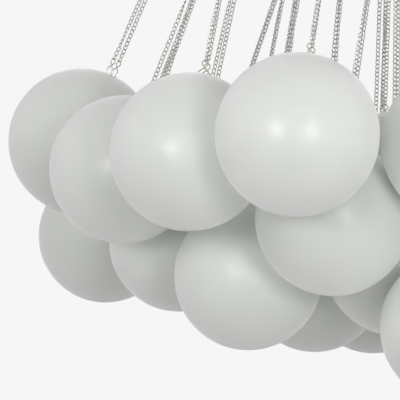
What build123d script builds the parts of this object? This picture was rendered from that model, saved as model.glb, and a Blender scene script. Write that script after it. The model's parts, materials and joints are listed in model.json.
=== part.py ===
from build123d import *
import os
from math import cos, hypot, radians, sin, sqrt, tan

# Cluster chandelier: thirty-three frosted glass globes, each hung from a round canopy on a
# pair of fine chains. Millimetres, +Z up, origin at the centre of the face on the ceiling.

# Driving dimensions of the whole
GLOBE_D = 200.0
TABLE_DROP = 800.0
HOOK_DROP = 62.0

# Blown globes
GLASS_WALL = 3.0
NECK_D = 24.0

# Each row holds the globe's centre, x and y from the canopy's axis and z above the level
# TABLE_DROP under the ceiling, then its diameter, then x and y of its hook. All are shares
# of the nominal diameter GLOBE_D.
GLOBE_SHARES = {
    "01": (-2.32, 0.235, 0.975, 1.045, -1.12, 0.12),
    "02": (-1.89, -0.78, 0.725, 0.99, -0.8, -0.38),
    "03": (-1.365, -1.665, 0.79, 0.995, -0.89, -0.82),
    "04": (-0.655, -2.36, 0.85, 0.98, -0.27, -1.17),
    "05": (0.325, -1.875, 0.82, 0.99, 0.16, -0.93),
    "06": (-2.255, 1.03, 0.32, 1.0, -0.92, 0.47),
    "07": (-1.605, 0.055, 0.26, 0.985, -0.84, 0.02),
    "08": (-1.06, -0.745, 0.02, 0.99, -0.46, -0.32),
    "09": (-0.475, -1.47, 0.38, 0.985, 0.02, -0.67),
    "10": (-0.08, -0.525, 0.105, 0.98, -0.04, -0.23),
    "11": (-0.665, 0.29, -0.025, 0.99, -0.32, 0.12),
    "12": (-0.27, 1.27, -0.055, 1.01, -0.12, 0.54),
    "13": (0.295, -1.34, -0.31, 0.965, 0.12, -0.55),
    "14": (-0.21, 1.945, 0.76, 0.99, -0.1, 0.95),
    "15": (2.32, -0.235, 0.955, 0.98, 1.18, -0.12),
    "16": (1.89, 0.775, 0.75, 0.98, 0.92, 0.38),
    "17": (1.465, 1.70, 0.835, 0.98, 0.73, 0.84),
    "18": (0.69, 2.375, 0.83, 0.98, 0.34, 1.18),
    "19": (2.25, -0.935, 0.17, 0.98, 1.0, -0.42),
    "20": (1.62, -0.065, 0.245, 0.98, 0.73, -0.03),
    "21": (1.27, 0.885, -0.015, 0.98, 0.55, 0.38),
    "22": (0.595, 1.45, 0.435, 0.98, 0.28, 0.67),
    "23": (1.295, -2.075, 0.93, 0.98, 0.65, -1.05),
    "24": (1.965, -1.35, 1.025, 0.98, 1.01, -0.69),
    "25": (-1.25, 1.785, 0.74, 0.98, -0.61, 0.87),
    "26": (-1.385, 0.82, 0.87, 0.975, -0.36, 0.41),
    "27": (0.435, 0.34, -0.095, 0.98, 0.19, 0.14),
    "28": (0.87, -0.53, -0.285, 0.98, 0.36, -0.22),
    "29": (-0.92, -0.125, 0.95, 0.93, -0.49, -0.06),
    "30": (1.18, -0.67, 1.01, 0.98, 0.6, -0.34),
    "31": (0.905, 0.265, 0.845, 0.98, 0.45, 0.13),
    "32": (-0.06, 0.59, 0.725, 0.98, -0.03, 0.29),
    "33": (1.13, -1.33, 0.27, 0.98, 0.51, -0.6),
}

# Outer globes that can swing clear of the cluster. The rest hang trapped by their neighbours.
FREE_GLOBES = (
    "01", "02", "03", "04", "05", "06", "13", "14", "15",
    "16", "17", "18", "23", "24", "25",
)

# Degrees from square to the lean, where a hook is bent round on the canopy plate
HOOK_TURNS = {"03": -24, "05": -18, "13": -12, "14": 18}

# Degrees from the X axis to the line through the two chains at a globe's neck
PAIR_TURNS = {
    "01": 46, "02": 24, "03": 80, "04": 84, "05": 20, "06": -30, "07": 40, "08": 86, "09": 62,
    "10": 12, "11": -44, "12": 30, "13": -12, "14": 70, "15": -25, "16": 36, "17": -52, "18": 15,
    "19": 0, "20": -36, "21": -20, "22": 66, "23": -15, "24": 34, "25": -82, "26": 88, "27": 70,
    "28": 62, "29": 78, "30": -48, "31": 18, "32": -28, "33": -22,
}

# Chains: curb chain, which ends in an open link above and below
LINK_WIRE = 1.5
LINK_BORE = 3.2
LINK_STEP = 4.0
CHAIN_W = 6.0
CHAIN_T = 2.4
SEAT_GAP = 0.3

# Wire clips: a loop, two legs that cross under it, and feet hooked outwards inside the neck
CLIP_WIRE = 1.5
LOOP_R = 4.0
LOOP_TOP = 23.25
LOOP_ANGLES = (22.5, 67.5, 112.5)
CROSS_H = 14.0
KNEE_H = 7.5
KNEE_OUT = 7.0
LEG_OUT = 6.0
FOOT_REACH = 13.0
PAIR_GAP = 10.8

# Hooks: wire staples riveted into the canopy plate, each carrying one globe's two chains
HOOK_WIRE = 2.6
HOOK_BAR = 18.0
HOOK_BEND = 2.8
RIVET_D = 5.0
RIVET_H = 1.2
CHAIN_SPREAD = 8.0
FIT_GAP = 0.2

# Canopy: a skirt whose inner flange rests on the round plate that carries everything
SKIRT_H = 46.0
SKIRT_WALL = 1.5
SKIRT_MARGIN = 38.0
SKIRT_EDGE_R = 1.0
FLANGE_W = 16.0
PLATE_T = 4.0

# Ceiling plate with its four screw holes and the cable hole, and its welded studs
CEILING_D = 210.0
CEILING_T = 3.0
SCREW_CIRCLE_D = 130.0
SCREW_HOLE_D = 5.5
SCREW_COUNT = 4
CABLE_HOLE_D = 24.0
STUD_D = 6.0
STUD_CIRCLE_D = 170.0
STUD_TURN = 114.0
STUD_COUNT = 3
NUT_ACROSS = 10.0
NUT_H = 6.0
NUT_DOME_D = 9.0
NUT_DOME_H = 4.0

# Lamps: snap-in holders with small golf-ball bulbs, among the hooks
LAMP_SHARES = (
    (0.0, 0.0), (0.285, 0.41), (-0.6, 0.58), (-0.26, -0.58),
    (0.42, -0.905), (1.09, 0.155), (-1.065, -0.13),
)
HOLDER_D = 27.0
HOLDER_H = 30.0
HOLDER_COLLAR_D = 34.0
HOLDER_COLLAR_H = 3.0
HOLDER_SNAP_D = 20.0
HOLDER_STEM_D = 17.0
HOLDER_SNAP_H = 3.0
SOCKET_D = 14.4
SOCKET_DEPTH = 24.0
BULB_D = 45.0
BULB_CAP_D = 13.8
BULB_CAP_H = 22.0
BULB_NECK_D = 20.0
BULB_H = 56.0
BULB_SHOULDER_TURN = 45.0

# Terminal block
BLOCK_L = 36.0
BLOCK_W = 18.0
BLOCK_H = 14.0
BLOCK_BORE_D = 3.6
BLOCK_WAYS = 3
BLOCK_SHARES = (0.0, 0.12)

HALF_OCTANT = 22.5
OCTAGON_SHARE = tan(radians(HALF_OCTANT))
plate_top = PLATE_T - SKIRT_H
hook_reach = max(hypot(row[4], row[5]) for row in GLOBE_SHARES.values()) * GLOBE_D
skirt_r = hook_reach + SKIRT_MARGIN
foot_r = hypot(PAIR_GAP / 2 + 2 * CLIP_WIRE, FOOT_REACH)
foot_drop = GLASS_WALL + (foot_r**2 - (NECK_D / 2) ** 2) / GLOBE_D + SEAT_GAP + CLIP_WIRE / 2

os.makedirs("parts", exist_ok=True)


def save(part, label):
    """Label a finished piece and write it to its own file."""
    part.label = label
    export_step(part, f"parts/{label}.step")


# Lay of each globe
class Lay:
    """The centre, lean, hook and chain directions of one globe."""

    def __init__(self, name):
        x, y, z, size, hook_x, hook_y = GLOBE_SHARES[name]
        self.radius = size * GLOBE_D / 2
        self.centre = Vector(x * GLOBE_D, y * GLOBE_D, z * GLOBE_D - TABLE_DROP)
        self.hook = Vector(hook_x * GLOBE_D, hook_y * GLOBE_D, -HOOK_DROP)
        self.up = (self.hook - self.centre).normalized()
        turn = radians(PAIR_TURNS[name])
        flat = Vector(cos(turn), sin(turn), 0)
        self.pair = (flat - self.up * flat.dot(self.up)).normalized()
        level = self.up.cross(Vector(0, 0, 1)).normalized()
        level = level.rotate(Axis.Z, HOOK_TURNS.get(name, 0))
        self.bar = level if level.dot(self.pair) > 0 else level * -1
        rim = sqrt(self.radius**2 - (NECK_D / 2) ** 2)
        self.neck = self.centre + self.up * rim


# Globes
def make_globe(lay):
    """A glass shell of even wall, open at the neck that faces its hook."""
    neck_r = NECK_D / 2
    inner_r = lay.radius - GLASS_WALL
    half = Plane(origin=lay.centre, x_dir=lay.pair, z_dir=lay.pair.cross(lay.up))
    with BuildPart() as globe:
        with BuildSketch(half):
            with BuildLine():
                rim = (neck_r, sqrt(lay.radius**2 - neck_r**2))
                mouth = (neck_r, sqrt(inner_r**2 - neck_r**2))
                outside = ThreePointArc((0, -lay.radius), (lay.radius, 0), rim)
                inside = ThreePointArc((0, -inner_r), (inner_r, 0), mouth)
                Line(outside @ 1, inside @ 1)
                Line(outside @ 0, inside @ 0)
            make_face()
        revolve(axis=Axis(lay.centre, lay.up))
    return globe.part


# End link, flat in XZ and round the origin at its upper end
def link_outline(half):
    """Eight corners of a link's outline at a given half width, its upper end first."""
    side = half * OCTAGON_SHARE
    low = -LINK_STEP
    return (
        (side, half), (half, side), (half, low - side), (side, low - half),
        (-side, low - half), (-half, low - side), (-half, side), (-side, half),
    )


with BuildPart() as link:
    with BuildSketch(Plane.XZ):
        Polygon(*link_outline(LINK_BORE / 2 + LINK_WIRE), align=None)
        Polygon(*link_outline(LINK_BORE / 2), align=None, mode=Mode.SUBTRACT)
    extrude(amount=LINK_WIRE / 2, both=True)


# Wire clip, flat in XZ but for the legs, which lean apart to cross clear of each other
def clip_half():
    """Corners of the wire from the loop's top down one side and across to a foot."""
    centre = LOOP_TOP - LOOP_R
    corner_r = LOOP_R / cos(radians(HALF_OCTANT))
    lean = (CLIP_WIRE + SEAT_GAP) / 2 / (LOOP_TOP - CROSS_H)
    flat = [(corner_r * sin(radians(a)), centre + corner_r * cos(radians(a))) for a in LOOP_ANGLES]
    flat += [(-KNEE_OUT, KNEE_H), (-LEG_OUT, -foot_drop), (-FOOT_REACH, -foot_drop)]
    return [Vector(x, (LOOP_TOP - z) * lean, z) for x, z in flat]


with BuildPart() as clip:
    with BuildLine() as clip_path:
        one_side = clip_half()
        other_side = [Vector(-p.X, -p.Y, p.Z) for p in reversed(one_side)]
        Polyline(*other_side, *one_side)
    with BuildSketch(clip_path.line ^ 0):
        RegularPolygon(CLIP_WIRE / 2, 6, major_radius=False)
    sweep(path=clip_path.line, transition=Transition.RIGHT)


def make_strand(lay, side):
    """One chain, from the hook's bar down to the loop of its clip, with an open link at each end."""
    link_low = LOOP_TOP + LINK_BORE / 2 - CLIP_WIRE / 2 - SEAT_GAP
    top = lay.hook + lay.bar * (side * CHAIN_SPREAD / 2)
    low = lay.neck + lay.up * link_low + lay.pair * (side * PAIR_GAP / 2)
    along = (top - low).normalized()
    inset = LINK_STEP - LINK_WIRE / 2
    top_link = Plane(origin=top, x_dir=lay.bar.cross(along), z_dir=along)
    low_link = Plane(origin=low, x_dir=lay.pair, z_dir=along * -1)
    with BuildPart() as strand:
        with BuildSketch(Plane(origin=low + along * inset, x_dir=lay.pair, z_dir=along)):
            Rectangle(CHAIN_W, CHAIN_T)
        extrude(amount=(top - low).length - 2 * inset)
        with Locations(top_link, low_link):
            add(link.part)
    return strand.part


def make_chains(lay):
    """Both chains of a globe and the clips that hold it, each a solid of its own."""
    sides = (1, -1)
    clip_planes = [
        Plane(
            origin=lay.neck + lay.pair * (side * PAIR_GAP / 2),
            x_dir=lay.pair.cross(lay.up) * side,
            z_dir=lay.up,
        )
        for side in sides
    ]
    clips = [clip.part.moved(plane.location) for plane in clip_planes]
    return [make_strand(lay, side) for side in sides] + clips


lays = {name: Lay(name) for name in GLOBE_SHARES}
inner_pieces = []
for name, lay in lays.items():
    save(make_globe(lay), f"globe_{name}")
    pieces = make_chains(lay)
    if name in FREE_GLOBES:
        with BuildPart() as chains:
            add(pieces)
        save(chains.part, f"chains_{name}")
    else:
        inner_pieces += pieces

with BuildPart() as inner_chains:
    add(inner_pieces)
save(inner_chains.part, "inner_chains")


# Hooks
with BuildPart() as hook:
    with BuildLine() as hook_path:
        rise = HOOK_DROP + plate_top
        end = HOOK_BAR / 2
        FilletPolyline((-end, 0, rise), (-end, 0, 0), (end, 0, 0), (end, 0, rise), radius=HOOK_BEND)
    with BuildSketch(hook_path.line ^ 0):
        Circle(HOOK_WIRE / 2)
    sweep(path=hook_path.line)
    with BuildSketch(Plane.XY.offset(rise)):
        with Locations((-end, 0), (end, 0)):
            Circle(RIVET_D / 2)
    extrude(amount=RIVET_H)

hook_planes = [Plane(origin=lay.hook, x_dir=lay.bar, z_dir=(0, 0, 1)) for lay in lays.values()]
with BuildPart() as chain_hooks:
    with Locations(*hook_planes):
        add(hook.part)
save(chain_hooks.part, "chain_hooks")


# Places that the plate is drilled at
leg_points = [
    (place.X, place.Y)
    for lay in lays.values()
    for place in (lay.hook + lay.bar * (HOOK_BAR / 2), lay.hook - lay.bar * (HOOK_BAR / 2))
]
lamp_points = [(x * GLOBE_D, y * GLOBE_D) for x, y in LAMP_SHARES]
stud_spots = PolarLocations(STUD_CIRCLE_D / 2, STUD_COUNT, start_angle=STUD_TURN)

# Canopy plate
with BuildPart() as canopy_plate:
    with BuildSketch(Plane.XY.offset(-SKIRT_H)):
        Circle(skirt_r - SKIRT_WALL - FIT_GAP)
        with Locations(*leg_points):
            Circle(HOOK_WIRE / 2 + FIT_GAP, mode=Mode.SUBTRACT)
        with Locations(*lamp_points):
            Circle(HOLDER_STEM_D / 2 + FIT_GAP, mode=Mode.SUBTRACT)
        with stud_spots:
            Circle(STUD_D / 2 + FIT_GAP, mode=Mode.SUBTRACT)
    extrude(amount=PLATE_T)
save(canopy_plate.part, "canopy_plate")

# Canopy skirt, its flange on top of the plate
with BuildPart() as canopy_skirt:
    with BuildSketch(Plane.XY.offset(-SKIRT_H)):
        Circle(skirt_r)
        Circle(skirt_r - SKIRT_WALL, mode=Mode.SUBTRACT)
    extrude(amount=SKIRT_H)
    with BuildSketch(Plane.XY.offset(plate_top)):
        Circle(skirt_r - SKIRT_WALL / 2)
        Circle(skirt_r - SKIRT_WALL - FLANGE_W, mode=Mode.SUBTRACT)
    extrude(amount=SKIRT_WALL)
    outer_edges = canopy_skirt.edges().filter_by(GeomType.CIRCLE).sort_by(Axis.Z)[0:2]
    fillet(outer_edges.sort_by(SortBy.RADIUS)[-1], radius=SKIRT_EDGE_R)
save(canopy_skirt.part, "canopy_skirt")

# Ceiling plate
with BuildPart() as ceiling_plate:
    with BuildSketch(Plane.XY.offset(-CEILING_T)):
        Circle(CEILING_D / 2)
        Circle(CABLE_HOLE_D / 2, mode=Mode.SUBTRACT)
        with PolarLocations(SCREW_CIRCLE_D / 2, SCREW_COUNT):
            Circle(SCREW_HOLE_D / 2, mode=Mode.SUBTRACT)
    extrude(amount=CEILING_T)
save(ceiling_plate.part, "ceiling_plate")

# Studs welded under the ceiling plate, long enough to fill the cap nuts
stud_end = SKIRT_H + NUT_H
with BuildPart() as mounting_studs:
    with BuildSketch(Plane.XY.offset(-stud_end)):
        with stud_spots:
            Circle(STUD_D / 2)
    extrude(amount=stud_end - CEILING_T)
save(mounting_studs.part, "mounting_studs")

# Cap nuts that hold the plate up
with BuildPart() as cap_nuts:
    with BuildSketch(Plane.XY.offset(-SKIRT_H - NUT_H)):
        with stud_spots:
            RegularPolygon(NUT_ACROSS / 2, 6, major_radius=False)
    extrude(amount=NUT_H)
    with BuildSketch(Plane.XY.offset(-SKIRT_H - NUT_H - NUT_DOME_H)):
        with stud_spots:
            Circle(NUT_DOME_D / 2)
    extrude(amount=NUT_DOME_H)
    domes = cap_nuts.edges().filter_by(GeomType.CIRCLE).group_by(Axis.Z)[0]
    fillet(domes, radius=NUT_DOME_H - SEAT_GAP)
    with BuildSketch(Plane.XY.offset(-stud_end - SEAT_GAP)):
        with stud_spots:
            Circle(STUD_D / 2 + SEAT_GAP / 2)
    extrude(amount=NUT_H + SEAT_GAP, mode=Mode.SUBTRACT)
save(cap_nuts.part, "cap_nuts")

# Lamp holders, each gripping the plate in a groove
lamp_planes = [Plane(origin=(x, y, -SKIRT_H)) for x, y in lamp_points]
collar_end = -HOLDER_COLLAR_H
holder_end = collar_end - HOLDER_H
groove_top = PLATE_T + FIT_GAP
with BuildPart() as holder:
    with BuildSketch(Plane.XZ):
        Polygon(
            (0, groove_top + HOLDER_SNAP_H),
            (HOLDER_STEM_D / 2, groove_top + HOLDER_SNAP_H),
            (HOLDER_SNAP_D / 2, groove_top),
            (HOLDER_STEM_D / 2, groove_top),
            (HOLDER_STEM_D / 2, 0),
            (HOLDER_COLLAR_D / 2, 0),
            (HOLDER_COLLAR_D / 2, collar_end),
            (HOLDER_D / 2, collar_end),
            (HOLDER_D / 2, holder_end),
            (SOCKET_D / 2, holder_end),
            (SOCKET_D / 2, holder_end + SOCKET_DEPTH),
            (0, holder_end + SOCKET_DEPTH),
            align=None,
        )
    revolve(axis=Axis.Z)
with BuildPart() as lamp_holders:
    with Locations(*lamp_planes):
        add(holder.part)
save(lamp_holders.part, "lamp_holders")

# Golf-ball bulbs, each cap screwed up its socket
bulb_r = BULB_D / 2
shoulder = holder_end - SEAT_GAP
ball_centre = shoulder - BULB_H + bulb_r
with BuildPart() as bulb:
    with BuildSketch(Plane.XZ):
        with BuildLine():
            neck_top = (BULB_NECK_D / 2, shoulder)
            cap = Polyline(
                (0, shoulder + BULB_CAP_H),
                (BULB_CAP_D / 2, shoulder + BULB_CAP_H),
                (BULB_CAP_D / 2, shoulder),
                neck_top,
            )
            turn = radians(BULB_SHOULDER_TURN)
            joint = (bulb_r * sin(turn), ball_centre + bulb_r * cos(turn))
            neck = Spline(neck_top, joint, tangents=[(0, -1), (1, -1)])
            ball = ThreePointArc(joint, (bulb_r, ball_centre), (0, ball_centre - bulb_r))
            Line(ball @ 1, cap @ 0)
        make_face()
    revolve(axis=Axis.Z)
with BuildPart() as bulbs:
    with Locations(*lamp_planes):
        add(bulb.part)
save(bulbs.part, "bulbs")

# Terminal block on the plate, a wire bore through each way
block_x, block_y = (share * GLOBE_D for share in BLOCK_SHARES)
with BuildPart() as terminal_block:
    with BuildSketch(Plane.XY.offset(plate_top)):
        with Locations((block_x, block_y)):
            Rectangle(BLOCK_L, BLOCK_W)
    extrude(amount=BLOCK_H)
    with BuildSketch(Plane.XZ.offset(-block_y - BLOCK_W)):
        with Locations((block_x, plate_top + BLOCK_H / 2)):
            with GridLocations(BLOCK_L / BLOCK_WAYS, BLOCK_H, BLOCK_WAYS, 1):
                Circle(BLOCK_BORE_D / 2)
    extrude(amount=2 * BLOCK_W, mode=Mode.SUBTRACT)
save(terminal_block.part, "terminal_block")
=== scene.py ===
import json
import math
import random

import bpy
from mathutils import Matrix, Vector


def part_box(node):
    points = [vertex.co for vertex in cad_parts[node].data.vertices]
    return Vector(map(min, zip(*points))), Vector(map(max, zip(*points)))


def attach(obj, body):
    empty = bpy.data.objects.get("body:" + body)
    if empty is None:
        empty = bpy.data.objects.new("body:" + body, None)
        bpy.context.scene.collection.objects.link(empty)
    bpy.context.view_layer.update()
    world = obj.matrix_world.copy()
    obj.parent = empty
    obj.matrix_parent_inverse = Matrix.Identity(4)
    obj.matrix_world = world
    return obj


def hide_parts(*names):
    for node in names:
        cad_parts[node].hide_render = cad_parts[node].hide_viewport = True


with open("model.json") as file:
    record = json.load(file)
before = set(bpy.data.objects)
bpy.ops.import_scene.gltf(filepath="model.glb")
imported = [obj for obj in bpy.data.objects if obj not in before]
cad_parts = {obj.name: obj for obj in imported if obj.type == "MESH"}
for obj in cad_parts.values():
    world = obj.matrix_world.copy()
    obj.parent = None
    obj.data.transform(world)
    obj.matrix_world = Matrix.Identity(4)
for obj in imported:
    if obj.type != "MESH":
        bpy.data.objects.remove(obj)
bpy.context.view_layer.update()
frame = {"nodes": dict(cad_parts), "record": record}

# Canopy. A satin nickel plate and skirt of spun steel, held up by cap nuts on the studs of a
# zinc-plated ceiling plate. Polished wire hooks are riveted into the plate.
PATCH_DETAIL = 3.0
GRAIN_DETAIL = 2.0
GRAIN_DEPTH = 0.0002
SPUN_LINES = 1300.0
SPUN_DRIFT = 4.0
SPUN_DETAIL = 2.0
SPUN_STRENGTH = 0.22
SPUN_DEPTH = 0.0001
SPUN_DULL = 0.14

# The range that a noise texture's values mostly keep to
NOISE_LOW = 0.3
NOISE_HIGH = 0.7


def feed(tree, slot, source):
    """Give a node's input a socket to read or a value to keep, or leave it as it is."""
    if isinstance(source, bpy.types.NodeSocket):
        tree.links.new(source, slot)
    elif source is not None:
        slot.default_value = source


def math_node(tree, operation, *sources):
    """A math node fed by sockets or numbers. Returns its output."""
    node = tree.nodes.new("ShaderNodeMath")
    node.operation = operation
    for slot, source in zip(node.inputs, sources):
        feed(tree, slot, source)
    return node.outputs[0]


def vector_node(tree, operation, *sources, scale=None):
    """A vector math node fed by sockets or vectors. Returns its output."""
    node = tree.nodes.new("ShaderNodeVectorMath")
    node.operation = operation
    for slot, source in zip(node.inputs, sources):
        feed(tree, slot, source)
    if scale is not None:
        tree.links.new(scale, node.inputs["Scale"])
    return node.outputs["Value" if operation == "LENGTH" else "Vector"]


def range_node(tree, value, low, high, new_low, new_high):
    """A value carried from one range to another, whose ends are sockets or numbers."""
    node = tree.nodes.new("ShaderNodeMapRange")
    for label, source in (
        ("Value", value),
        ("From Min", low),
        ("From Max", high),
        ("To Min", new_low),
        ("To Max", new_high),
    ):
        feed(tree, node.inputs[label], source)
    return node.outputs[0]


def noise_node(tree, place, scale, detail, seed=None):
    """A noise texture at a place, of its own kind for each seed. Returns its value."""
    node = tree.nodes.new("ShaderNodeTexNoise")
    if seed is not None:
        node.noise_dimensions = "4D"
        tree.links.new(seed, node.inputs["W"])
    for label, source in (("Vector", place), ("Scale", scale), ("Detail", detail)):
        feed(tree, node.inputs[label], source)
    return node.outputs[0]


def mix_node(tree, kind, factor, first, second):
    """A mix of two colours or two numbers, fed by sockets or values. Returns its output."""
    node = tree.nodes.new("ShaderNodeMix")
    node.data_type = kind
    tree.links.new(factor, node.inputs["Factor"])
    slots = [slot for slot in node.inputs if slot.enabled and slot.name in ("A", "B")]
    for slot, source in zip(slots, (first, second)):
        feed(tree, slot, source)
    return next(slot for slot in node.outputs if slot.enabled)


def bump_node(tree, height, strength, depth, under=None):
    """Relief from a height, on top of the relief under it. Returns the normal."""
    node = tree.nodes.new("ShaderNodeBump")
    for label, source in (
        ("Height", height),
        ("Strength", strength),
        ("Distance", depth),
        ("Normal", under),
    ):
        feed(tree, node.inputs[label], source)
    return node.outputs[0]


def mottle_group():
    """Slow and fine variation that every finish here has: a colour, a roughness, a normal."""
    group = bpy.data.node_groups.new("surface_mottle", "ShaderNodeTree")
    for in_out, label, kind in (
        ("INPUT", "Color", "NodeSocketColor"),
        ("INPUT", "Shade", "NodeSocketColor"),
        ("INPUT", "Patch size", "NodeSocketFloat"),
        ("INPUT", "Grain size", "NodeSocketFloat"),
        ("INPUT", "Rough low", "NodeSocketFloat"),
        ("INPUT", "Rough high", "NodeSocketFloat"),
        ("INPUT", "Grain height", "NodeSocketFloat"),
        ("OUTPUT", "Color", "NodeSocketColor"),
        ("OUTPUT", "Roughness", "NodeSocketFloat"),
        ("OUTPUT", "Normal", "NodeSocketVector"),
    ):
        group.interface.new_socket(label, in_out=in_out, socket_type=kind)
    given = group.nodes.new("NodeGroupInput").outputs
    out = group.nodes.new("NodeGroupOutput").inputs
    spot = group.nodes.new("ShaderNodeTexCoord").outputs["Object"]
    patches = noise_node(group, spot, given["Patch size"], PATCH_DETAIL)
    grain = noise_node(group, spot, given["Grain size"], GRAIN_DETAIL)
    color = mix_node(group, "RGBA", patches, given["Color"], given["Shade"])
    rough = range_node(
        group, patches, NOISE_LOW, NOISE_HIGH, given["Rough low"], given["Rough high"],
    )
    group.links.new(color, out["Color"])
    group.links.new(rough, out["Roughness"])
    group.links.new(bump_node(group, grain, given["Grain height"], GRAIN_DEPTH), out["Normal"])
    return group


MOTTLE = mottle_group()


def finish_material(name, *, color, shade, patch, grain, rough, height, **constants):
    """A material whose colour, roughness and normal come from the mottle, with set constants."""
    material = bpy.data.materials.new(name)
    material.use_nodes = True
    tree = material.node_tree
    shader = tree.nodes["Principled BSDF"]
    mottle = tree.nodes.new("ShaderNodeGroup")
    mottle.node_tree = MOTTLE
    for label, value in (
        ("Color", (*color, 1.0)),
        ("Shade", (*shade, 1.0)),
        ("Patch size", patch),
        ("Grain size", grain),
        ("Rough low", rough[0]),
        ("Rough high", rough[1]),
        ("Grain height", height),
    ):
        mottle.inputs[label].default_value = value
    for label, slot in (("Color", "Base Color"), ("Roughness", "Roughness"), ("Normal", "Normal")):
        tree.links.new(mottle.outputs[label], shader.inputs[slot])
    for label, value in constants.items():
        shader.inputs[label.replace("_", " ")].default_value = value
    return material


def add_spun_lines(material):
    """Fine rings round the canopy's axis, as spinning leaves them, in relief and roughness."""
    tree = material.node_tree
    shader = tree.nodes["Principled BSDF"]
    spot = tree.nodes.new("ShaderNodeTexCoord").outputs["Object"]
    parts = tree.nodes.new("ShaderNodeSeparateXYZ")
    tree.links.new(spot, parts.inputs[0])
    radius = vector_node(tree, "LENGTH", vector_node(tree, "MULTIPLY", spot, (1.0, 1.0, 0.0)))
    place = tree.nodes.new("ShaderNodeCombineXYZ")
    for slot, source, scale in (
        ("X", radius, SPUN_LINES),
        ("Y", parts.outputs["Z"], SPUN_LINES),
        ("Z", parts.outputs["X"], SPUN_DRIFT),
    ):
        tree.links.new(math_node(tree, "MULTIPLY", source, scale), place.inputs[slot])
    marks = noise_node(tree, place.outputs[0], 1.0, SPUN_DETAIL)
    grain = shader.inputs["Normal"].links[0].from_socket
    relief = bump_node(tree, marks, SPUN_STRENGTH, SPUN_DEPTH, grain)
    tree.links.new(relief, shader.inputs["Normal"])
    plain = shader.inputs["Roughness"].links[0].from_socket
    dull = math_node(tree, "MULTIPLY", marks, SPUN_DULL)
    tree.links.new(math_node(tree, "ADD", plain, dull), shader.inputs["Roughness"])


satin_nickel = finish_material(
    "satin_nickel", color=(0.62, 0.61, 0.59), shade=(0.54, 0.53, 0.51),
    patch=14.0, grain=1500.0, rough=(0.26, 0.36), height=0.10, Metallic=1.0,
)
add_spun_lines(satin_nickel)
bright_nickel = finish_material(
    "bright_nickel", color=(0.74, 0.72, 0.69), shade=(0.66, 0.64, 0.61),
    patch=60.0, grain=2500.0, rough=(0.12, 0.2), height=0.05, Metallic=1.0,
)
zinc_plate = finish_material(
    "zinc_plate", color=(0.60, 0.62, 0.64), shade=(0.48, 0.50, 0.52),
    patch=45.0, grain=1200.0, rough=(0.34, 0.5), height=0.15, Metallic=1.0,
)
for node, material in (
    ("ceiling_plate", zinc_plate),
    ("mounting_studs", zinc_plate),
    ("canopy_skirt", satin_nickel),
    ("canopy_plate", satin_nickel),
    ("cap_nuts", bright_nickel),
    ("chain_hooks", bright_nickel),
):
    frame["nodes"][node].material_slots[0].material = material


# Lamps. White thermoset holders snapped into the plate, with small opal golf-ball bulbs that
# light the bunch from above, and the nylon terminal block for the house cable.
white_holder = finish_material(
    "white_holder", color=(0.86, 0.86, 0.83), shade=(0.80, 0.80, 0.77),
    patch=40.0, grain=1800.0, rough=(0.3, 0.42), height=0.06,
)
opal_bulb = finish_material(
    "opal_bulb", color=(0.93, 0.91, 0.86), shade=(0.90, 0.88, 0.83),
    patch=30.0, grain=1500.0, rough=(0.14, 0.2), height=0.02,
)
block_nylon = finish_material(
    "block_nylon", color=(0.83, 0.83, 0.79), shade=(0.76, 0.76, 0.72),
    patch=80.0, grain=2200.0, rough=(0.42, 0.55), height=0.12,
)
for node, material in (
    ("lamp_holders", white_holder),
    ("bulbs", opal_bulb),
    ("terminal_block", block_nylon),
):
    frame["nodes"][node].material_slots[0].material = material


# Chains. Two fine nickel curb chains to each globe, whose oval wire links are twisted so that
# the chain lies flat. They hang on the hook's bar and end in the loops of the clips.
HOOK_WIRE = 0.0026
LINK_WIRE = 0.0015
LINK_PITCH = 0.006
LINK_HALF_LENGTH = 0.0038
LINK_HALF_WIDTH = 0.00235
LINK_TWIST = 0.00082
LINK_POINTS = 12
WIRE_SIDES = 5
CHAIN_SPREAD = 0.008
PAIR_GAP = 0.0108
STRAND_STEPS = 48
CLIP_WIRE = 0.0015
LOOP_TOP = 0.02325
NECK_R = 0.012

# How far a link may rock at random, in radians, and the shares of that about its three axes
LINK_PLAY = 0.09
PLAY_SHARES = (1.0, 0.3, 0.3)

# The way from the front to the back, which the chains turn their flat side to
BACK_WAY = Vector((0, 1, 0))

# A chain's slow sway and its one twist, in radians. Places and lengths are shares of the
# chain, and each hold is the part of it, one in so many, that its end keeps straight.
SWAY_RANGE = (0.08, 0.3)
SWAY_WAVES = 11
TWIST_RANGE = (0.7, 1.5)
TWIST_PLACES = (0.5, 1.15)
TWIST_LENGTH = 0.05
TOP_HOLD = 6
LOW_HOLD = 14

# Hook places under the canopy in metres, and the turn in degrees from the X axis of the
# line through the two chains at the neck
HANGS = {
    "01": (-0.224, 0.024, 46), "02": (-0.16, -0.076, 24), "03": (-0.178, -0.164, 80),
    "04": (-0.054, -0.234, 84), "05": (0.032, -0.186, 20), "06": (-0.184, 0.094, -30),
    "07": (-0.168, 0.004, 40), "08": (-0.092, -0.064, 86), "09": (0.004, -0.134, 62),
    "10": (-0.008, -0.046, 12), "11": (-0.064, 0.024, -44), "12": (-0.024, 0.108, 30),
    "13": (0.024, -0.11, -12), "14": (-0.02, 0.19, 70), "15": (0.236, -0.024, -25),
    "16": (0.184, 0.076, 36), "17": (0.146, 0.168, -52), "18": (0.068, 0.236, 15),
    "19": (0.2, -0.084, 0), "20": (0.146, -0.006, -36), "21": (0.11, 0.076, -20),
    "22": (0.056, 0.134, 66), "23": (0.13, -0.21, -15), "24": (0.202, -0.138, 34),
    "25": (-0.122, 0.174, -82), "26": (-0.072, 0.082, 88), "27": (0.038, 0.028, 70),
    "28": (0.072, -0.044, 62), "29": (-0.098, -0.012, 78), "30": (0.12, -0.068, -48),
    "31": (0.09, 0.026, 18), "32": (-0.006, 0.058, -28), "33": (0.102, -0.12, -22),
}
HOOK_Z = -0.062

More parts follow.
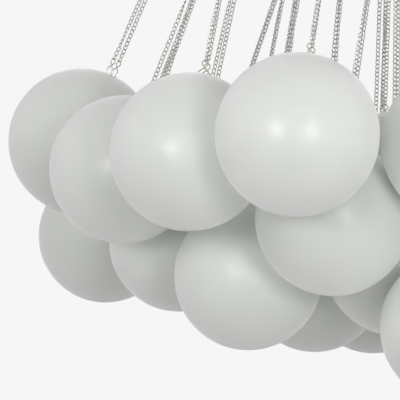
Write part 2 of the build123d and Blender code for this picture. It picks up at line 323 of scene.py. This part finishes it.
# Degrees from square to the lean, where a hook is bent round on the canopy plate
HOOK_TURNS = {"03": -24, "05": -18, "13": -12, "14": 18}
body_of_node = {
    node: body
    for body, nodes in frame["record"]["behaviour"]["bodies"].items()
    for node in nodes
}


class Hang:
    """Where one globe hangs: its centre, radius, axis and neck, and its chains' directions."""

    def __init__(self, name):
        x, y, turn = HANGS[name]
        low, high = (Vector(corner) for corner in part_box(f"globe_{name}"))
        self.name = name
        self.centre = (low + high) / 2
        self.radius = (high - low).length / math.sqrt(3) / 2
        self.hook = Vector((x, y, HOOK_Z))
        self.up = (self.hook - self.centre).normalized()
        flat = Vector((math.cos(math.radians(turn)), math.sin(math.radians(turn)), 0))
        self.pair = (flat - self.up * flat.dot(self.up)).normalized()
        level = self.up.cross(Vector((0, 0, 1))).normalized()
        level.rotate(Matrix.Rotation(math.radians(HOOK_TURNS.get(name, 0)), 3, "Z"))
        self.bar = level if level.dot(self.pair) > 0 else -level
        self.neck = self.centre + self.up * math.sqrt(self.radius**2 - NECK_R**2)
        self.body = body_of_node[f"globe_{name}"]
        own_node = f"chains_{name}"
        self.chain_node = own_node if own_node in frame["nodes"] else "inner_chains"

    def place(self, origin):
        """Matrix that lays local X along the pair of chains and local Z along the axis."""
        side = self.up.cross(self.pair)
        turn = Matrix((self.pair, side, self.up)).transposed().to_4x4()
        return Matrix.Translation(origin) @ turn


def geometry_tree(name, sockets):
    """An empty Geometry Nodes tree with the named inputs, their sockets and its end."""
    tree = bpy.data.node_groups.new(name, "GeometryNodeTree")
    tree.interface.new_socket("Geometry", in_out="INPUT", socket_type="NodeSocketGeometry")
    for label, kind, value in sockets:
        socket = tree.interface.new_socket(label, in_out="INPUT", socket_type=kind)
        if value is not None:
            socket.default_value = value
    tree.interface.new_socket("Geometry", in_out="OUTPUT", socket_type="NodeSocketGeometry")
    given = tree.nodes.new("NodeGroupInput").outputs
    return tree, given, tree.nodes.new("NodeGroupOutput").inputs[0]


def end_tree(tree, geometry, material, end):
    """Make instances real, give the whole its material and hand it to the tree's end."""
    real = tree.nodes.new("GeometryNodeRealizeInstances")
    paint = tree.nodes.new("GeometryNodeSetMaterial")
    tree.links.new(geometry, real.inputs["Geometry"])
    tree.links.new(real.outputs[0], paint.inputs["Geometry"])
    tree.links.new(material, paint.inputs["Material"])
    tree.links.new(paint.outputs[0], end)


def in_scene(name, data):
    """A new object in the scene."""
    thing = bpy.data.objects.new(name, data)
    bpy.context.scene.collection.objects.link(thing)
    return thing


def grown_object(name, mesh, tree, values):
    """A scratch object whose mesh a Geometry Nodes tree grows with the given inputs."""
    grown = in_scene(name, mesh)
    modifier = grown.modifiers.new(name, "NODES")
    modifier.node_group = tree
    for item in tree.interface.items_tree:
        if item.in_out == "INPUT" and item.name in values:
            modifier[item.identifier] = values[item.name]
    return grown


def plain_mesh(source, name):
    """The evaluated shape of an object as a mesh of its own. The source object is deleted."""
    graph = bpy.context.evaluated_depsgraph_get()
    mesh = bpy.data.meshes.new_from_object(source.evaluated_get(graph))
    mesh.name = name
    bpy.data.objects.remove(source)
    return mesh


def new_piece(name, mesh, body, *nodes):
    """A finished piece at the origin, riding on its body in place of its nodes."""
    piece = in_scene(name, mesh)
    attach(piece, body)
    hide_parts(*nodes)
    return piece


chain_nickel = finish_material(
    "chain_nickel", color=(0.66, 0.645, 0.62), shade=(0.52, 0.505, 0.48),
    patch=120.0, grain=4000.0, rough=(0.2, 0.34), height=0.12, Metallic=1.0,
)


def chain_tree():
    """Curb links set one pitch apart along edges, their width along the edges' attribute."""
    tree, given, end = geometry_tree("curb_chain", (
        ("Pitch", "NodeSocketFloat", LINK_PITCH),
        ("Half length", "NodeSocketFloat", LINK_HALF_LENGTH),
        ("Half width", "NodeSocketFloat", LINK_HALF_WIDTH),
        ("Twist", "NodeSocketFloat", LINK_TWIST),
        ("Wire", "NodeSocketFloat", LINK_WIRE),
        ("Play", "NodeSocketFloat", LINK_PLAY),
        ("Seed", "NodeSocketInt", 0),
        ("Nickel", "NodeSocketMaterial", None),
    ))
    link = tree.links.new

    circle = tree.nodes.new("GeometryNodeCurvePrimitiveCircle")
    circle.inputs["Resolution"].default_value = LINK_POINTS
    circle.inputs["Radius"].default_value = 1.0
    spot = tree.nodes.new("ShaderNodeSeparateXYZ")
    link(tree.nodes.new("GeometryNodeInputPosition").outputs[0], spot.inputs[0])
    x = spot.outputs["X"]
    y = spot.outputs["Y"]

    # Twice x times y runs up to one and down to minus one twice round the link, and lifts its
    # wire by turns, as the twist of a curb link does
    twice_xy = math_node(tree, "MULTIPLY", math_node(tree, "MULTIPLY", x, y), 2.0)
    bent = tree.nodes.new("ShaderNodeCombineXYZ")
    for slot, source, reach in (
        ("X", x, "Half length"),
        ("Y", y, "Half width"),
        ("Z", twice_xy, "Twist"),
    ):
        link(math_node(tree, "MULTIPLY", source, given[reach]), bent.inputs[slot])
    oval = tree.nodes.new("GeometryNodeSetPosition")
    link(circle.outputs["Curve"], oval.inputs["Geometry"])
    link(bent.outputs[0], oval.inputs["Position"])
    section = tree.nodes.new("GeometryNodeCurvePrimitiveCircle")
    section.inputs["Resolution"].default_value = WIRE_SIDES
    link(math_node(tree, "DIVIDE", given["Wire"], 2.0), section.inputs["Radius"])
    wire = tree.nodes.new("GeometryNodeCurveToMesh")
    link(oval.outputs[0], wire.inputs["Curve"])
    link(section.outputs["Curve"], wire.inputs["Profile Curve"])
    smooth = tree.nodes.new("GeometryNodeSetShadeSmooth")
    link(wire.outputs[0], smooth.inputs["Geometry"])

    run = tree.nodes.new("GeometryNodeMeshToCurve")
    link(given["Geometry"], run.inputs["Mesh"])
    steps = tree.nodes.new("GeometryNodeResampleCurve")
    steps.mode = "LENGTH"
    link(run.outputs[0], steps.inputs["Curve"])
    link(given["Pitch"], steps.inputs["Length"])
    across = tree.nodes.new("GeometryNodeInputNamedAttribute")
    across.data_type = "FLOAT_VECTOR"
    across.inputs["Name"].default_value = "across"
    lay = tree.nodes.new("FunctionNodeAlignRotationToVector")
    lay.axis = "X"
    link(tree.nodes.new("GeometryNodeInputTangent").outputs[0], lay.inputs["Vector"])
    turn = tree.nodes.new("FunctionNodeAlignRotationToVector")
    turn.axis = "Y"
    turn.pivot_axis = "X"
    link(lay.outputs[0], turn.inputs["Rotation"])
    link(across.outputs[0], turn.inputs["Vector"])
    loose = tree.nodes.new("FunctionNodeRandomValue")
    loose.data_type = "FLOAT_VECTOR"
    for slot, sign in zip(loose.inputs, (-1, 1)):
        shares = tuple(sign * share for share in PLAY_SHARES)
        link(vector_node(tree, "SCALE", shares, scale=given["Play"]), slot)
    link(given["Seed"], loose.inputs["Seed"])
    rock = tree.nodes.new("FunctionNodeRotateRotation")
    rock.rotation_space = "LOCAL"
    link(turn.outputs[0], rock.inputs["Rotation"])
    link(loose.outputs[0], rock.inputs["Rotate By"])

    chain = tree.nodes.new("GeometryNodeInstanceOnPoints")
    link(steps.outputs[0], chain.inputs["Points"])
    link(smooth.outputs[0], chain.inputs["Instance"])
    link(rock.outputs[0], chain.inputs["Rotation"])
    end_tree(tree, chain.outputs[0], given["Nickel"], end)
    return tree


def strand_ends(hang, side):
    """Centres of the first and last link of one chain, under the bar and over the clip."""
    bow = LINK_HALF_LENGTH - (HOOK_WIRE + LINK_WIRE) / 2
    top = hang.hook + hang.bar * (side * CHAIN_SPREAD / 2) - hang.up * bow
    rise = LOOP_TOP - CLIP_WIRE + LINK_HALF_LENGTH
    low = hang.neck + hang.up * rise + hang.pair * (side * PAIR_GAP / 2)
    return top, low


def angle_about(axis, start, end):
    """Turn about an axis from one direction to another, a half turn being no turn at all."""
    turn = math.atan2(axis.dot(start.cross(end)), start.dot(end))
    return (turn + math.pi / 2) % math.pi - math.pi / 2


def strand_widths(hang, along, count, dice):
    """Directions of the links' width down one chain, which hangs nearly flat and twists once."""
    flat = along.cross(BACK_WAY).normalized()
    top_turn = angle_about(along, flat, along.cross(hang.bar))
    low_turn = angle_about(along, flat, hang.pair)
    sway = dice.uniform(*SWAY_RANGE)
    phase = dice.uniform(0, 2 * math.pi)
    twist = dice.choice((-1, 1)) * dice.uniform(*TWIST_RANGE)
    twist_place = dice.uniform(*TWIST_PLACES)
    widths = []
    for step in range(count + 1):
        share = step / count
        top_pull = max(0.0, 1 - share * TOP_HOLD) ** 2
        low_pull = max(0.0, 1 - (1 - share) * LOW_HOLD) ** 2
        loose = math.sin(phase + share * SWAY_WAVES) * sway
        loose += twist * math.exp(-(((share - twist_place) / TWIST_LENGTH) ** 2))
        angle = loose * (1 - top_pull) * (1 - low_pull) + top_turn * top_pull + low_turn * low_pull
        widths.append(Matrix.Rotation(angle, 3, along) @ flat)
    return widths


CHAIN_TREE = chain_tree()
hangs = [Hang(name) for name in HANGS]
for hang in hangs:
    dice = random.Random(hang.name)
    points, edges, widths = [], [], []
    for side in (1, -1):
        top, low = strand_ends(hang, side)
        along = (low - top).normalized()
        start = len(points)
        points += [top.lerp(low, step / STRAND_STEPS) for step in range(STRAND_STEPS + 1)]
        edges += [(start + step, start + step + 1) for step in range(STRAND_STEPS)]
        widths += strand_widths(hang, along, STRAND_STEPS, dice)
    run_mesh = bpy.data.meshes.new("chain_run")
    run_mesh.from_pydata(points, edges, [])
    across = run_mesh.attributes.new("across", "FLOAT_VECTOR", "POINT")
    for row, width in zip(across.data, widths):
        row.vector = width
    values = {"Seed": int(hang.name), "Nickel": chain_nickel}
    grown = grown_object("chain_run", run_mesh, CHAIN_TREE, values)
    chain_mesh = plain_mesh(grown, f"chain_{hang.name}")
    chain = new_piece(f"curb_chains_{hang.name}", chain_mesh, hang.body, hang.chain_node)


# Clips. One bent wire at the foot of each chain: a round loop, two legs that cross under it
# and spread to a knee, and two feet that spring out under the rim of the glass.
LOOP_R = 0.004
LOOP_ANGLES = (18, 40, 62, 84, 106, 126)
LEG_SPACING = 0.00156
BEND_STEPS = 3
BEVEL_STEPS = 2

# One side of the wire in metres, outwards from the clip's middle and up from the neck's rim:
# the crossing, the knee, the leg down through the neck and the foot
LEG_WAY = (
    (0.0, 0.0140), (0.00434, 0.0100), (0.0070, 0.0075), (0.00693, 0.0054), (0.00624, 0.0015),
    (0.0060, -0.00336), (0.00636, -0.00456), (0.0078, -0.0048), (0.0130, -0.0048),
)

clip_wire = finish_material(
    "clip_wire", color=(0.63, 0.575, 0.53), shade=(0.50, 0.45, 0.41),
    patch=90.0, grain=3000.0, rough=(0.18, 0.3), height=0.08, Metallic=1.0,
)


def clip_side():
    """Points of the wire from beside the loop's top, round it, across and down to a foot."""
    middle = LOOP_TOP - LOOP_R
    crossing = LEG_WAY[0][1]
    lean = LEG_SPACING / 2 / (LOOP_TOP - crossing)
    flat = [
        (LOOP_R * math.sin(math.radians(a)), middle + LOOP_R * math.cos(math.radians(a)))
        for a in LOOP_ANGLES
    ]
    flat += [(-out, height) for out, height in LEG_WAY]
    return [Vector((x, (LOOP_TOP - z) * lean, z)) for x, z in flat]


def smooth_path(points, steps):
    """Points on a Catmull-Rom curve, which passes through each given point."""
    path = []
    padded = [points[0] * 2 - points[1]] + points + [points[-1] * 2 - points[-2]]
    for a, b, c, d in zip(padded, padded[1:], padded[2:], padded[3:]):
        for step in range(steps):
            t = step / steps
            path.append(
                (b * 2 + (c - a) * t + (a * 2 - b * 5 + c * 4 - d) * t**2
                 + (b * 3 - a - c * 3 + d) * t**3) / 2
            )
    return path + [points[-1]]


side_points = clip_side()
clip_points = [Vector((-p.x, -p.y, p.z)) for p in reversed(side_points)] + side_points
clip_path = smooth_path(clip_points, BEND_STEPS)
for hang in hangs:
    wires = bpy.data.curves.new("wires", "CURVE")
    wires.dimensions = "3D"
    wires.bevel_depth = CLIP_WIRE / 2
    wires.bevel_resolution = BEVEL_STEPS
    wires.use_fill_caps = True
    for side in (1, -1):
        spline = wires.splines.new("POLY")
        spline.points.add(len(clip_path) - 1)
        seat = hang.place(hang.neck + hang.pair * (side * PAIR_GAP / 2))
        for knot, point in zip(spline.points, clip_path):
            turned = Vector((-point.y * side, point.x * side, point.z))
            knot.co = (seat @ turned).to_4d()
    clip_mesh = plain_mesh(in_scene("wires", wires), f"clips_{hang.name}")
    clip_mesh.shade_smooth()
    clip_mesh.materials.clear()
    clip_mesh.materials.append(clip_wire)
    clips = new_piece(f"wire_clips_{hang.name}", clip_mesh, hang.body, hang.chain_node)


# Globes. Thirty-three balls of blown glass of one size within a few percent, acid etched to a
# satin white. Each has a small fire-polished neck, and hangs by the clips' feet inside it.
GLOBE_R = 0.1
GLASS_WALL = 0.003
RIM_ROUND = 0.0009
RIM_SEGMENTS = 3
RIM_ANGLE = 50
GLOBE_SEGMENTS = 88
GLOBE_RINGS = 52
BLOW_WOBBLE = 0.0007
BLOW_SCALE = 0.9

# Degrees from the globe's axis: the cap that is cut off, the edge that is drawn to the neck's
# rim, and where the etching begins to fade and where it ends
CAP_TURN = 5.2
EDGE_TURN = 8.0
FROST_TURN = 13.0
CLEAR_TURN = 8.0
CLEAR_COLOR = (0.62, 0.70, 0.65, 1.0)
CLEAR_ROUGHNESS = 0.14

frosted_glass = finish_material(
    "frosted_glass", color=(0.93, 0.965, 0.915), shade=(0.90, 0.935, 0.885),
    patch=9.0, grain=2600.0, rough=(0.36, 0.44), height=0.10,
    Specular_IOR_Level=0.5, Coat_Weight=0.24, Coat_Roughness=0.25,
    Subsurface_Weight=0.6, Subsurface_Radius=(1.0, 1.0, 1.0), Subsurface_Scale=0.03,
    Sheen_Weight=0.5, Sheen_Roughness=0.6,
)
glass_tree = frosted_glass.node_tree
etch = glass_tree.nodes.new("ShaderNodeAttribute")
etch.attribute_name = "frost"
for label, kind, polished in (
    ("Base Color", "RGBA", CLEAR_COLOR),
    ("Roughness", "FLOAT", CLEAR_ROUGHNESS),
):
    slot = glass_tree.nodes["Principled BSDF"].inputs[label]
    frosted = slot.links[0].from_socket
    faded = mix_node(glass_tree, kind, etch.outputs["Fac"], polished, frosted)
    glass_tree.links.new(faded, slot)


def height_at(turn):
    """Height on a ball of radius one, so many degrees from its axis."""
    return math.cos(math.radians(turn))


def globe_tree():
    """A ball with its cap taken off at the neck, pulled a little out of true by blowing."""
    tree, given, end = geometry_tree("blown_globe", (
        ("Radius", "NodeSocketFloat", GLOBE_R),
        ("Neck radius", "NodeSocketFloat", NECK_R),
        ("Wobble", "NodeSocketFloat", BLOW_WOBBLE),
        ("Seed", "NodeSocketFloat", 0.0),
        ("Glass", "NodeSocketMaterial", None),
    ))
    link = tree.links.new
    radius = given["Radius"]
    neck = given["Neck radius"]

    ball = tree.nodes.new("GeometryNodeMeshUVSphere")
    ball.inputs["Segments"].default_value = GLOBE_SEGMENTS
    ball.inputs["Rings"].default_value = GLOBE_RINGS
    ball.inputs["Radius"].default_value = 1.0
    spot = tree.nodes.new("GeometryNodeInputPosition").outputs[0]
    parts = tree.nodes.new("ShaderNodeSeparateXYZ")
    link(spot, parts.inputs[0])
    height = parts.outputs["Z"]
    frost = range_node(tree, height, height_at(FROST_TURN), height_at(CLEAR_TURN), 1.0, 0.0)
    etched = tree.nodes.new("GeometryNodeStoreNamedAttribute")
    etched.domain = "POINT"
    etched.inputs["Name"].default_value = "frost"
    link(ball.outputs["Mesh"], etched.inputs["Geometry"])
    link(frost, etched.inputs["Value"])

    cut = tree.nodes.new("GeometryNodeDeleteGeometry")
    cut.domain = "POINT"
    link(etched.outputs[0], cut.inputs["Geometry"])
    in_cap = math_node(tree, "GREATER_THAN", height, height_at(CAP_TURN))
    link(in_cap, cut.inputs["Selection"])

    noise = noise_node(tree, spot, BLOW_SCALE, 0.0, given["Seed"])
    hollow = math_node(tree, "SUBTRACT", noise, 1.0)
    swell = math_node(tree, "MULTIPLY", hollow, given["Wobble"])
    reach = math_node(tree, "ADD", radius, swell)
    blown = tree.nodes.new("GeometryNodeSetPosition")
    link(cut.outputs[0], blown.inputs["Geometry"])
    link(vector_node(tree, "SCALE", spot, scale=reach), blown.inputs["Position"])

    edge = tree.nodes.new("GeometryNodeSetPosition")
    link(blown.outputs[0], edge.inputs["Geometry"])
    edge_height = math_node(tree, "MULTIPLY", radius, height_at(EDGE_TURN))
    link(math_node(tree, "GREATER_THAN", height, edge_height), edge.inputs["Selection"])
    ring = vector_node(tree, "NORMALIZE", vector_node(tree, "MULTIPLY", spot, (1.0, 1.0, 0.0)))
    ring = vector_node(tree, "SCALE", ring, scale=neck)
    outer_square = math_node(tree, "MULTIPLY", radius, radius)
    neck_square = math_node(tree, "MULTIPLY", neck, neck)
    rise_square = math_node(tree, "SUBTRACT", outer_square, neck_square)
    rise = tree.nodes.new("ShaderNodeCombineXYZ")
    link(math_node(tree, "SQRT", rise_square), rise.inputs["Z"])
    link(vector_node(tree, "ADD", ring, rise.outputs[0]), edge.inputs["Position"])

    smooth = tree.nodes.new("GeometryNodeSetShadeSmooth")
    link(edge.outputs[0], smooth.inputs["Geometry"])
    end_tree(tree, smooth.outputs[0], given["Glass"], end)
    return tree


GLOBE_TREE = globe_tree()
for hang in hangs:
    values = {"Radius": hang.radius, "Seed": float(hang.name), "Glass": frosted_glass}
    blank = grown_object("blank_globe", bpy.data.meshes.new("blank_globe"), GLOBE_TREE, values)
    wall = blank.modifiers.new("wall", "SOLIDIFY")
    wall.thickness = GLASS_WALL
    wall.offset = -1.0
    rim = blank.modifiers.new("rim", "BEVEL")
    rim.width = RIM_ROUND
    rim.segments = RIM_SEGMENTS
    rim.limit_method = "ANGLE"
    rim.angle_limit = math.radians(RIM_ANGLE)
    globe_mesh = plain_mesh(blank, f"glass_{hang.name}")
    globe_mesh.transform(hang.place(hang.centre))
    globe = new_piece(f"frosted_globe_{hang.name}", globe_mesh, hang.body, f"globe_{hang.name}")


# Studio. A pale floor and surround, two small key lamps that the glass mirrors, six broad ones
# that only fill in, and the camera at the photograph's place, looking up a little to the left.
FLOOR_Z = -2.6
FLOOR_HALF = 14.0
FLOOR_GLOW = 0.82
ROOM_LIGHT = 0.1
BACKDROP = 0.92
LAMP_TARGET = Vector((0, 0, -0.72))
CAMERA_PLACE = Vector((0.0, -3.125, -0.8))
CAMERA_LENS = 202.5
CAMERA_SENSOR = 36.0
CAMERA_REACH = 100.0
CAMERA_RISE = math.radians(2.0)
CAMERA_SWING = math.radians(5.307)

corners = ((-1, -1), (1, -1), (1, 1), (-1, 1))
floor_mesh = bpy.data.meshes.new("floor")
floor_mesh.from_pydata(
    [(x * FLOOR_HALF, y * FLOOR_HALF, FLOOR_Z) for x, y in corners], [], [(0, 1, 2, 3)],
)
floor = in_scene("floor", floor_mesh)
floor_paint = finish_material(
    "floor_paint", color=(0.80, 0.80, 0.79), shade=(0.78, 0.78, 0.77),
    patch=1.5, grain=60.0, rough=(0.6, 0.7), height=0.02,
)
floor_mesh.materials.append(floor_paint)


def seen_ray(tree):
    """One for the rays that see a thing straight, mirrored or through glass, else zero."""
    rays = tree.nodes.new("ShaderNodeLightPath")
    seen = math_node(tree, "MAXIMUM", rays.outputs["Is Camera Ray"], rays.outputs["Is Glossy Ray"])
    return math_node(tree, "MAXIMUM", seen, rays.outputs["Is Transmission Ray"])


def shader_mix(tree, factor, first, second):
    """A mix of two shaders. Returns its output."""
    node = tree.nodes.new("ShaderNodeMixShader")
    for slot, source in zip(node.inputs, (factor, first, second)):
        tree.links.new(source, slot)
    return node.outputs[0]


# To a ray that sees it the floor is mostly plain light, and from below it isn't there
floor_tree = floor_paint.node_tree
painted = floor_tree.nodes["Principled BSDF"].outputs[0]
glowing = floor_tree.nodes.new("ShaderNodeEmission").outputs[0]
clear = floor_tree.nodes.new("ShaderNodeBsdfTransparent").outputs[0]
underside = floor_tree.nodes.new("ShaderNodeNewGeometry").outputs["Backfacing"]
glow_share = math_node(floor_tree, "MULTIPLY", seen_ray(floor_tree), FLOOR_GLOW)
floor_top = shader_mix(floor_tree, glow_share, painted, glowing)
floor_look = shader_mix(floor_tree, underside, floor_top, clear)
floor_tree.links.new(floor_look, floor_tree.nodes["Material Output"].inputs["Surface"])

# Each lamp's bearing round from the camera and lift over the target in degrees, its distance
# and width in metres, its watts, and whether the glass and metal mirror it
for name, bearing, lift, distance, power, size, mirrored in (
    ("left_key_lamp", -23.0, 4.9, 2.4, 9.5, 0.5, True),
    ("right_key_lamp", 15.3, 2.6, 2.4, 10.0, 0.5, True),
    ("front_soft_lamp", -3.0, 5.0, 2.4, 17.0, 2.2, False),
    ("left_side_lamp", -75.0, 20.0, 2.4, 17.0, 1.6, False),
    ("right_side_lamp", 75.0, 20.0, 2.4, 22.0, 1.6, False),
    ("top_lamp", 0.0, 60.0, 2.4, 6.0, 1.6, False),
    ("low_lamp", 45.0, -25.0, 2.4, 6.0, 1.6, False),
    ("back_soft_lamp", 165.0, 20.0, 3.4, 42.0, 1.8, False),
):
    level_share = math.cos(math.radians(lift))
    away = Vector((
        math.sin(math.radians(bearing)) * level_share,
        -math.cos(math.radians(bearing)) * level_share,
        math.sin(math.radians(lift)),
    ))
    lamp_data = bpy.data.lights.new(name, "AREA")
    lamp_data.shape = "DISK"
    lamp_data.size = size
    lamp_data.energy = power
    lamp = in_scene(name, lamp_data)
    lamp.location = LAMP_TARGET + away * distance
    lamp.rotation_euler = away.to_track_quat("Z", "Y").to_euler()
    lamp.visible_camera = False
    lamp.visible_glossy = mirrored

world = bpy.data.worlds.new("studio")
bpy.context.scene.world = world
world.use_nodes = True
sky = world.node_tree.nodes["Background"]
sky.inputs["Color"].default_value = (1.0, 1.0, 1.0, 1.0)
seen_here = seen_ray(world.node_tree)
brightness = range_node(world.node_tree, seen_here, 0.0, 1.0, ROOM_LIGHT, BACKDROP)
world.node_tree.links.new(brightness, sky.inputs["Strength"])

camera_data = bpy.data.cameras.new("camera")
camera_data.lens = CAMERA_LENS
camera_data.sensor_width = CAMERA_SENSOR
camera_data.clip_end = CAMERA_REACH
camera = in_scene("camera", camera_data)
camera.location = CAMERA_PLACE
camera.rotation_euler = (math.pi / 2 + CAMERA_RISE, 0.0, CAMERA_SWING)
bpy.context.scene.camera = camera
bpy.context.scene.view_settings.view_transform = "Standard"
